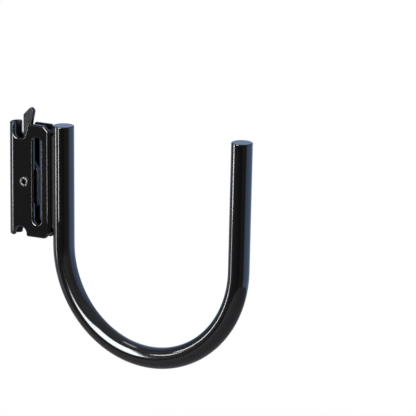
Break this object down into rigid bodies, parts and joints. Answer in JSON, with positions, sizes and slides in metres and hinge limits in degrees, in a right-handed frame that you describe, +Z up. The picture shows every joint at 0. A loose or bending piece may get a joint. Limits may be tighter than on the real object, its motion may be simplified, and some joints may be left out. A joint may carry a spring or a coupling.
{
  "type": "garage utility hook",
  "caption": "Round bar bent to an open J, welded to a folded sheet housing that notches into a slotted wall rail, with a sprung latch lever and thumb tab on a hollow rivet.",
  "frame": {"origin": "rail seat: middle of the housing's width, middle of the rail sheet, crown of the lower notch", "axes": "+X across the hook, +Y into the wall rail, +Z up when hung"},
  "size_m": [0.0146, 0.1887, 0.1652],
  "materials": {
    "housing_coat": "gloss black coat",
    "bar_coat": "gloss black coat",
    "weld_coat": "gloss black coat",
    "rivet_coat": "gloss black coat",
    "lever_coat": "gloss black coat",
    "spring_steel": "drawn wire"
  },
  "bodies": {
    "hook": {"housing": "housing_coat", "hook_rod": "bar_coat", "weld_bead_left": "weld_coat", "weld_bead_right": "weld_coat", "pivot_rivet": "rivet_coat", "latch_spring": "spring_steel"},
    "latch": {"latch_lever": "lever_coat"}
  },
  "joints": [
    {"name": "latch_release", "type": "hinge", "parent": "hook", "child": "latch", "pos_m": [0, -0.0058, 0.0308], "axis": [1, 0, 0], "range_deg": [0, 10], "stiffness_Nm_per_rad": 0.85, "springref_deg": -8.59, "deforming": ["latch_spring"]}
  ]
}
